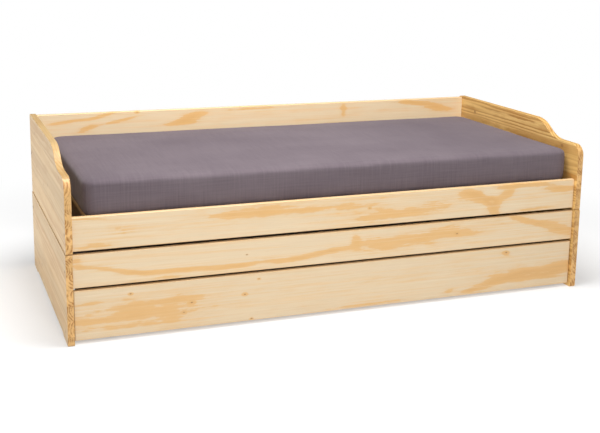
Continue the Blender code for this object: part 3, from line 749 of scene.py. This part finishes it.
def cushionForm(name, low, high, corner, edge, cell):
    # a box with rounded corners and edges as an even grid of quads, with true flat faces
    bm = bmesh.new()
    bmesh.ops.create_cube(bm, size=1.0)
    bmesh.ops.scale(bm, vec=high - low, verts=bm.verts)
    bmesh.ops.translate(bm, vec=(low + high) / 2, verts=bm.verts)
    upright = [e for e in bm.edges if abs(e.verts[0].co.z - e.verts[1].co.z) > 1e-6]
    bmesh.ops.bevel(bm, geom=upright, offset=corner, segments=8, profile=0.5, affect="EDGES")
    rim = [e for e in bm.edges if abs(e.verts[0].co.z - e.verts[1].co.z) < 1e-6
           and any(abs(f.normal.z) > 0.9 for f in e.link_faces)]
    bmesh.ops.bevel(bm, geom=rim, offset=edge, segments=5, profile=0.5, affect="EDGES")
    obj = newObject(name, meshFrom(bm, name))
    remesh = obj.modifiers.new("even skin", "REMESH")
    remesh.mode = "VOXEL"
    remesh.voxel_size = cell
    return settle(obj)


def swell(obj):
    # foam pushing its cover out: pressure, no gravity, and no point moving further than the cap
    rest = [v.co.copy() for v in obj.data.vertices]
    cloth = obj.modifiers.new("cover", "CLOTH")
    for key, value in foamSet["cover"].items():
        setattr(cloth.settings, key, value)
    cloth.settings.effector_weights.gravity = 0.0
    cloth.collision_settings.use_collision = False
    for step in range(1, foamSet["frames"] + 1):
        scene.frame_set(step)
    bpy.context.view_layer.update()
    moved = bpy.data.meshes.new_from_object(obj.evaluated_get(bpy.context.evaluated_depsgraph_get()))
    for vertex, old in zip(moved.vertices, rest):
        push = vertex.co - old
        if push.length > foamSet["cap"]:
            vertex.co = old + push.normalized() * foamSet["cap"]
    obj.modifiers.clear()
    obj.data = moved
    scene.frame_set(1)


def makeMattress(name, node, body, cover):
    low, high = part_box(node)
    inset = Vector((1, 1, 1)) * foamSet["shrink"]
    obj = cushionForm(name, low + inset, high - inset, foamSet["corner"], foamSet["edge"], foamSet["voxel"])
    swell(obj)
    middle, half = (low + high) / 2, (high - low) / 2
    for vertex in obj.data.vertices:  # the sheet's elastic draws each lower corner in under itself
        way = vertex.co - middle
        near = max(0.0, 1.0 - math.hypot(half.x - abs(way.x), half.y - abs(way.y)) / foamSet["drawReach"])
        depth = max(0.0, foamSet["drawTop"] - (vertex.co.z - low.z) / (high.z - low.z))
        pull = foamSet["drawIn"] * near ** 1.5 * depth ** 1.3
        vertex.co.x -= math.copysign(pull, way.x)
        vertex.co.y -= math.copysign(pull * foamSet["drawDepth"], way.y)
        vertex.co.z = max(vertex.co.z, low.z)  # flat where it lies on the slats
    obj.data.shade_smooth()
    smooth = obj.modifiers.new("fine skin", "SUBSURF")
    smooth.levels = 1
    smooth.render_levels = 1
    settle(obj)
    showAs(obj, cover, body, "foam_core", node)
    return obj


def knitPlace(point, low, high):
    # the sheet laid flat again: sides fold out around the top
    drop = max(0.0, high.z - point.z)
    turn = sheetSet["turn"]
    reachX = max(0.0, abs(point.x - (low.x + high.x) / 2) - (high.x - low.x) / 2 + turn)
    reachY = max(0.0, abs(point.y - (low.y + high.y) / 2) - (high.y - low.y) / 2 + turn)
    outX = math.copysign(drop if reachX > reachY else 0.0, point.x)
    outY = math.copysign(drop if reachY >= reachX else 0.0, point.y)
    return (point.x + outX, point.y + outY, 0.0)


def makeSheet(name, mattress, node, body, knit, seed):
    # the cloth that covers the mattress: top, sides and a tuck underneath, drawn in by its elastic
    low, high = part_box(node)
    bm = bmesh.new()
    bm.from_mesh(mattress.data)
    bmesh.ops.recalc_face_normals(bm, faces=bm.faces)
    middle = (low + high) / 2
    half = (high - low) / 2
    tuck, cornerIn, raised = sheetSet["tuck"], sheetSet["cornerIn"], sheetSet["lift"]
    under = [f for f in bm.faces if f.normal.z < -0.9
             and abs(f.calc_center_median().x - middle.x) < half.x - tuck
             and abs(f.calc_center_median().y - middle.y) < half.y - tuck]
    bmesh.ops.delete(bm, geom=under, context="FACES")
    bm.normal_update()
    for v in bm.verts:
        n = v.normal.copy()
        p = v.co
        side = 1.0 - min(1.0, abs(n.z) * 1.2)
        fromCorner = Vector((abs(p.x - middle.x) - half.x + cornerIn, abs(p.y - middle.y) - half.y + cornerIn))
        cornerNear = max(0.0, 1.0 - fromCorner.length / sheetSet["cornerReach"])
        ease = noise.noise(Vector((p.x * 2.2 + seed, p.y * 2.6, p.z * 3.0)))
        drawn = noise.noise(Vector((p.x * 9.0 + p.y * 7.0 + seed, p.z * 14.0 - p.y * 3.0, seed)))
        pleat = noise.noise(Vector((p.x * 34.0 + seed, p.y * 34.0, p.z * 5.0)))
        brow = math.exp(-((p.z - high.z + 0.012) / 0.014) ** 2) * side  # the fold along the top of each side
        lift = raised["all"] + raised["ease"] * ease + raised["drawn"] * drawn * side
        lift += raised["brow"] * brow * drawn
        lift += raised["pleat"] * pleat * side * cornerNear
        v.co = p + n * max(raised["least"], lift)
    layer = bm.verts.layers.float_vector.new("knit")
    for v in bm.verts:
        v[layer] = knitPlace(v.co, low, high)
    obj = newObject(name, meshFrom(bm, name))
    obj.data.shade_smooth()
    cloth = obj.modifiers.new("cloth", "SOLIDIFY")
    cloth.thickness = sheetSet["thick"] * 0.4
    cloth.offset = 1.0
    settle(obj)
    return showAs(obj, knit, body, "jersey_sheet", node)


seamSet = {
    "radius": 0.0009, "proud": 0.0004, "step": 0.004, "stitch": 0.0036, "stitchLength": 0.0022,
    "threadRadius": 0.00035, "lean": 62, "levels": 16, "foot": 0.016, "margin": 0.022,
    "inset": 0.06, "reach": 0.3,
}


def stitchGrower():
    # a corner seam: a fine cord laid along the line, with slanting stitches every few millimetres over it
    g = Grower("corner seam", {
        "Material": ("Material", None), "Radius": ("Float", 0.001), "Spacing": ("Float", 0.004),
        "Stitch": ("Float", 0.0022)})
    line = g.node("GeometryNodeMeshToCurve", Mesh=g.take("Geometry"))
    smooth = g.node("GeometryNodeResampleCurve", {"mode": "LENGTH"}, Curve=line.outputs[0],
                    Length=seamSet["step"])
    ring = g.node("GeometryNodeCurvePrimitiveCircle", Resolution=6, Radius=g.take("Radius"))
    cord = g.node("GeometryNodeCurveToMesh", Curve=smooth.outputs[0], Profile_Curve=ring.outputs[0],
                  Fill_Caps=True)
    spots = g.node("GeometryNodeCurveToPoints", {"mode": "LENGTH"}, Curve=line.outputs[0],
                   Length=g.take("Spacing"))
    thread = g.node("GeometryNodeMeshCylinder", Vertices=6, Radius=seamSet["threadRadius"],
                    Depth=g.take("Stitch"))
    lean = g.node("FunctionNodeRotateRotation", Rotation=spots.outputs["Rotation"])
    lean.inputs["Rotate By"].default_value = (0.0, math.radians(seamSet["lean"]), 0.0)
    lean.rotation_space = "LOCAL"
    laid = g.node("GeometryNodeInstanceOnPoints", Points=spots.outputs["Points"], Instance=thread.outputs["Mesh"],
                  Rotation=lean.outputs[0])
    both = g.node("GeometryNodeJoinGeometry")
    g.tree.links.new(laid.outputs[0], both.inputs[0])
    g.tree.links.new(cord.outputs[0], both.inputs[0])
    g.close(both.outputs[0])
    return g


def seamLine(sheet, low, high):
    # the line down each corner, found by looking straight in at the sheet at each height
    tree = BVHTree.FromObject(sheet, bpy.context.evaluated_depsgraph_get())
    middle, half = (low + high) / 2, (high - low) / 2
    inset, foot, margin = seamSet["inset"], seamSet["foot"], seamSet["margin"]
    verts, edges = [], []
    for sx in (-1, 1):
        for sy in (-1, 1):
            outward = Vector((sx, sy, 0.0)).normalized()
            base = Vector((middle.x + sx * (half.x - inset), middle.y + sy * (half.y - inset), 0.0))
            for i in range(seamSet["levels"]):
                z = low.z + foot + (high.z - low.z - margin) * i / (seamSet["levels"] - 1)
                hit = tree.ray_cast(base + outward * seamSet["reach"] + Vector((0, 0, z)), -outward)[0]
                if hit is None:
                    continue
                if i:
                    edges.append((len(verts) - 1, len(verts)))
                verts.append(hit + outward * seamSet["proud"])
    mesh = bpy.data.meshes.new("seamLine")
    mesh.from_pydata(verts, edges, [])
    return mesh


def makeBedding():
    knit, cover, seams = jersey("greyJersey"), ticking("mattressCover"), stitchGrower()
    yarn = seamThread("seamThread")
    for prefix, body, seed in (("upper", "bed", 1.7), ("trundle", "trundle", 6.1)):
        mattress = makeMattress(prefix + "Mattress", f"{prefix}_mattress", body, cover)
        node = f"{prefix}_fitted_sheet"
        sheet = makeSheet(prefix + "Sheet", mattress, node, body, knit, seed)
        low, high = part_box(node)
        drop = high.z - low.z + sheetSet["tuck"]
        flat = (high.y - low.y + 2 * drop, high.x - low.x + 2 * drop)
        corners = 4 * drop * drop
        seam = seams.grow(prefix + "SheetSeams", seamLine(sheet, low, high), yarn, Radius=seamSet["radius"],
                          Spacing=seamSet["stitch"], Stitch=seamSet["stitchLength"])
        showAs(seam, yarn, body, "jersey_sheet")
        flat[0] * flat[1] - corners
        print(prefix, "bedding made; sheet cut", [round(v, 3) for v in flat])


wheelSet = {"turns": 56, "sharp": 50}


def makeWheel(name, node, body, tyre):
    # a wheel with a rounded tread, a groove round each side and a stepped hub
    low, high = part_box(node)
    middle = (low + high) / 2
    radius, half = (high.z - low.z) / 2, (high.x - low.x) / 2
    side = [(0.0034, half), (0.0062, half), (0.0068, half - 0.0006), (0.0074, half - 0.0026),
            (0.0120, half - 0.0030), (0.0128, half - 0.0018), (0.0172, half - 0.0014),
            (radius - 0.0035, half - 0.0010), (radius - 0.0012, half - 0.0024), (radius - 0.0002, half - 0.0048),
            (radius, half - 0.0070)]
    profile = side + [(r, -x) for r, x in reversed(side)]
    turns = wheelSet["turns"]
    bm = bmesh.new()
    rings = []
    for i in range(turns):
        angle = 2 * math.pi * i / turns
        rings.append([bm.verts.new((middle.x + x, middle.y + r * math.cos(angle), middle.z + r * math.sin(angle)))
                      for r, x in profile])
    count = len(profile)
    for i in range(turns):
        a, b = rings[i], rings[(i + 1) % turns]
        for k in range(count):
            bm.faces.new((a[k], a[(k + 1) % count], b[(k + 1) % count], b[k]))
    bmesh.ops.recalc_face_normals(bm, faces=bm.faces)
    mesh = meshFrom(bm, name)
    mesh.shade_smooth()
    mesh.set_sharp_from_angle(angle=math.radians(wheelSet["sharp"]))
    return showAs(newObject(name, mesh), tyre, body, "wheel_plastic", node)


boltSet = {
    "radius": 0.0070, "deep": 0.0030, "socket": 0.0024, "socketDeep": 0.0018, "shank": 0.0030, "long": 0.040,
    "fit": 0.92, "sharp": 32,
}


def boltPattern():
    # a flush connector bolt lying along Z, its face at z = 0; a ring's mark says that it has six flat sides
    b = boltSet
    rings = ((b["shank"], -b["long"], False), (b["shank"], -b["deep"], False), (b["radius"], -b["deep"], False),
             (b["radius"], -0.0006, False), (b["radius"] - 0.0005, -0.0001, False),
             (b["radius"] - 0.0009, 0.0, False), (b["socket"] + 0.0005, 0.0, False),
             (b["socket"], -0.0003, True), (b["socket"], -b["socketDeep"], True))

    def sided(radius, flat, angle):
        if not flat:
            return radius
        return radius / math.cos((angle + math.pi / 6) % (math.pi / 3) - math.pi / 6) * b["fit"]
    return stackedRings("boltPattern", rings, sided, b["sharp"])


def makeBolts(black):
    nodes = [n for n in nodeOf if n.endswith("_bolt")]
    spots = []
    for node in nodes:
        low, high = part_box(node)
        way = 1 if high.x > 0 else -1
        spots.append(((high.x if way > 0 else low.x, (low.y + high.y) / 2, (low.z + high.z) / 2), (way, 0, 0)))
    pattern = newObject("boltPattern", boltPattern())
    bolts = screwGrower().grow("connectorBolts", aimedPoints("boltPoints", spots), black, Head=pattern, Size=1.0)
    showAs(bolts, black, "bed", "black_steel", *nodes)
    bpy.data.objects.remove(pattern)


def makeFittings():
    zinc = metal("zincSteel", (0.62, 0.62, 0.60), 0.34, (0.42, 0.42, 0.41))
    black = metal("blackSteel", (0.09, 0.085, 0.08), 0.42, (0.16, 0.15, 0.14))
    tyre = moulded("wheelPlastic", (0.075, 0.075, 0.08), 0.48)
    dowel = beech("beechDowel")
    for node, obj in nodeOf.items():
        if node.startswith("stacking_dowel"):
            finish = dowel
        elif node.startswith(("caster_bracket", "caster_axle")):
            finish = zinc
        else:
            continue
        obj.data.materials.clear()
        obj.data.materials.append(finish)
    makeBolts(black)
    for row in ("front", "rear"):
        for side in ("left", "right"):
            makeWheel(f"wheel{row.capitalize()}{side.capitalize()}", f"caster_wheel_{row}_{side}",
                      f"wheel_{row}_{side}", tyre)
    return zinc


lightSet = {
    "sky": 0.15, "backdrop": 1.0, "floor": (0.54, 0.54, 0.54), "glow": 0.40, "sweep": (1.2, 2.4),
    "floorReach": 30, "floorTop": -0.0005,
    "key": {"place": (-1.2, -5.2, 4.3), "aim": (0.0, -0.1, 0.3), "size": 2.2, "power": 214},
    "top": {"place": (-0.15, -0.5, 3.1), "aim": (-0.1, 0.0, 0.35), "size": 1.6, "power": 114},
    "side": {"place": (-3.6, 0.5, 0.55), "aim": (-1.0, 0.0, 0.35), "size": 1.0, "power": 44},
}


def makeStage():
    bm = bmesh.new()
    bmesh.ops.create_grid(bm, x_segments=1, y_segments=1, size=lightSet["floorReach"])
    floor = newObject("floor", meshFrom(bm, "floor"))
    floor.location.z = lightSet["floorTop"]
    paint = Finish("paleFloor")
    (x, y, _), _ = objectPlace(paint)
    away = paint.step(paint.math("SQRT", x * x + y * y), *lightSet["sweep"])  # lit evenly white further out
    paint.set(Base_Color=paint.mix(away, lightSet["floor"], (0, 0, 0)), Roughness=0.9, Specular_IOR_Level=0.0,
              Emission_Color=paint.mix(away, (lightSet["glow"],) * 3, (1, 1, 1)), Emission_Strength=1.0)
    floor.data.materials.append(paint.material)
    world = bpy.data.worlds.new("softSky")
    world.use_nodes = True
    sky = world.node_tree.nodes["Background"]
    sky.inputs["Color"].default_value = (1, 1, 1, 1)
    seen = world.node_tree.nodes.new("ShaderNodeLightPath")
    level = world.node_tree.nodes.new("ShaderNodeMapRange")  # a white backdrop behind a dimmer sky
    world.node_tree.links.new(seen.outputs["Is Camera Ray"], level.inputs["Value"])
    level.inputs["To Min"].default_value = lightSet["sky"]
    level.inputs["To Max"].default_value = lightSet["backdrop"]
    world.node_tree.links.new(level.outputs[0], sky.inputs["Strength"])
    scene.world = world
    for name in ("key", "top", "side"):
        facts = lightSet[name]
        lamp = bpy.data.lights.new(name + "Light", "AREA")
        lamp.energy = facts["power"]
        lamp.size = facts["size"]
        obj = newObject(name + "Light", lamp)
        obj.location = facts["place"]
        way = Vector(facts["aim"]) - Vector(facts["place"])
        obj.rotation_euler = way.to_track_quat("-Z", "Y").to_euler()


cameraSet = {
    "place": (-1.493, -3.928, 1.381), "heading": 20.76, "dip": 11.61, "roll": 0.826,
    "lens": 62.0, "shift": -0.1008, "sensor": 36.0,
}


def makeCamera():
    heading, dip = math.radians(cameraSet["heading"]), math.radians(cameraSet["dip"])
    roll = math.radians(cameraSet["roll"])
    ahead = Vector((math.sin(heading) * math.cos(dip), math.cos(heading) * math.cos(dip), -math.sin(dip)))
    level = ahead.cross(Vector((0, 0, 1))).normalized()
    up = level.cross(ahead)
    right = level * math.cos(roll) + up * math.sin(roll)
    up = right.cross(ahead)
    lens = bpy.data.cameras.new("studioCamera")
    lens.lens = cameraSet["lens"]
    lens.sensor_width = cameraSet["sensor"]
    lens.shift_y = cameraSet["shift"]
    lens.clip_end = 100
    camera = newObject("studioCamera", lens)
    turn = Matrix((right, up, -ahead)).transposed().to_4x4()
    camera.matrix_world = Matrix.Translation(Vector(cameraSet["place"])) @ turn
    scene.camera = camera


makeStage()
makeCamera()
print("stage and camera set")
finishBoards()
print("boards finished")
steel = makeFittings()
makeSlats(steel)
print("slats, screws and casters finished")
makeBedding()
